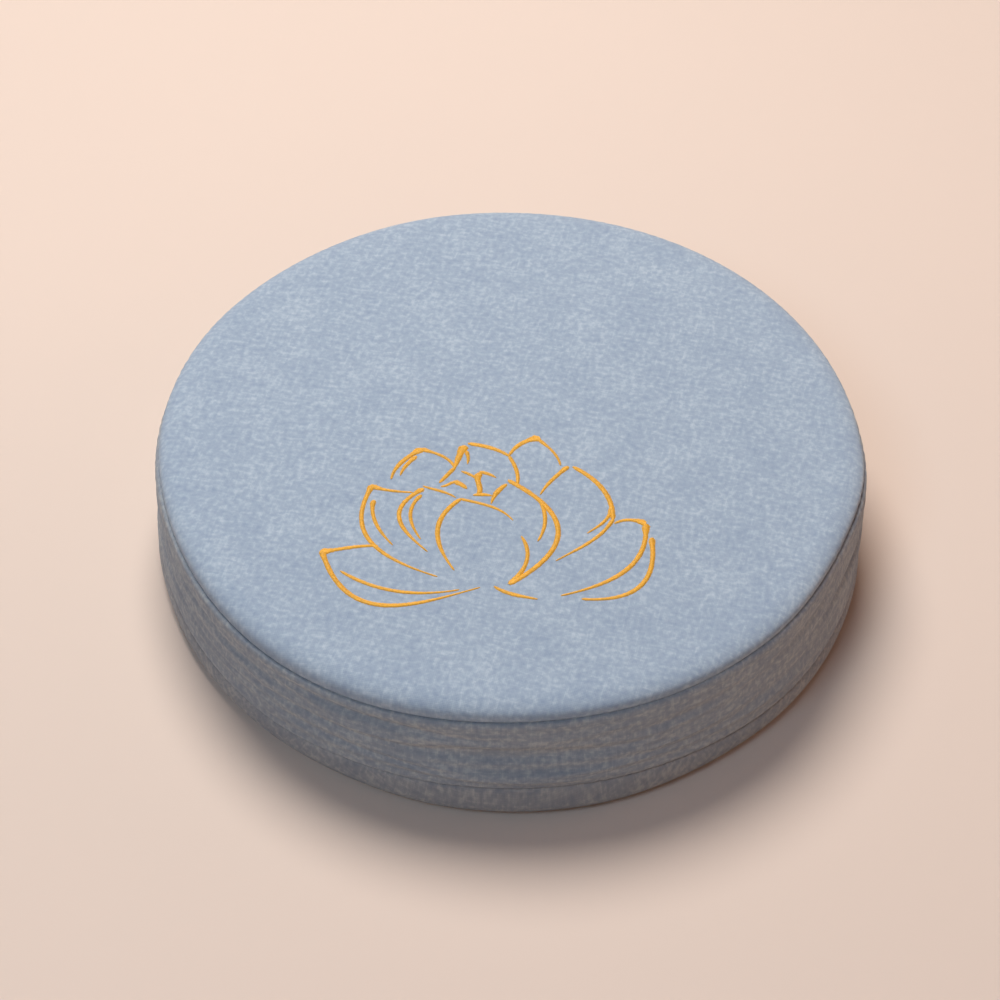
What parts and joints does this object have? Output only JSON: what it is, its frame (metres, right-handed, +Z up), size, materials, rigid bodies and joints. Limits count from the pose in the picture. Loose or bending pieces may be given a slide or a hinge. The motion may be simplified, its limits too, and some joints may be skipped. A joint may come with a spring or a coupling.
{
  "type": "round boxed meditation cushion",
  "caption": "Flat round meditation cushion with a softly crowned top panel, a wrinkled side band between two plain seams and a flat base panel.",
  "frame": {"origin": "under the middle of the cushion, on the surface it rests on", "axes": "+Z up through the top panel, -Y towards the front, where the embroidered flower's base is, +X to the right"},
  "size_m": [0.4084, 0.4106, 0.0875],
  "materials": {
    "slub_cloth": "matt plain weave, pale blue, slubby",
    "band_cloth": "the same cloth cut as a strip, with pressed-in folds",
    "gold_thread": "satin-stitched golden yellow thread"
  },
  "bodies": {
    "root": {"top_panel": "slub_cloth", "side_band": "band_cloth", "bottom_panel": "slub_cloth"}
  },
  "joints": []
}
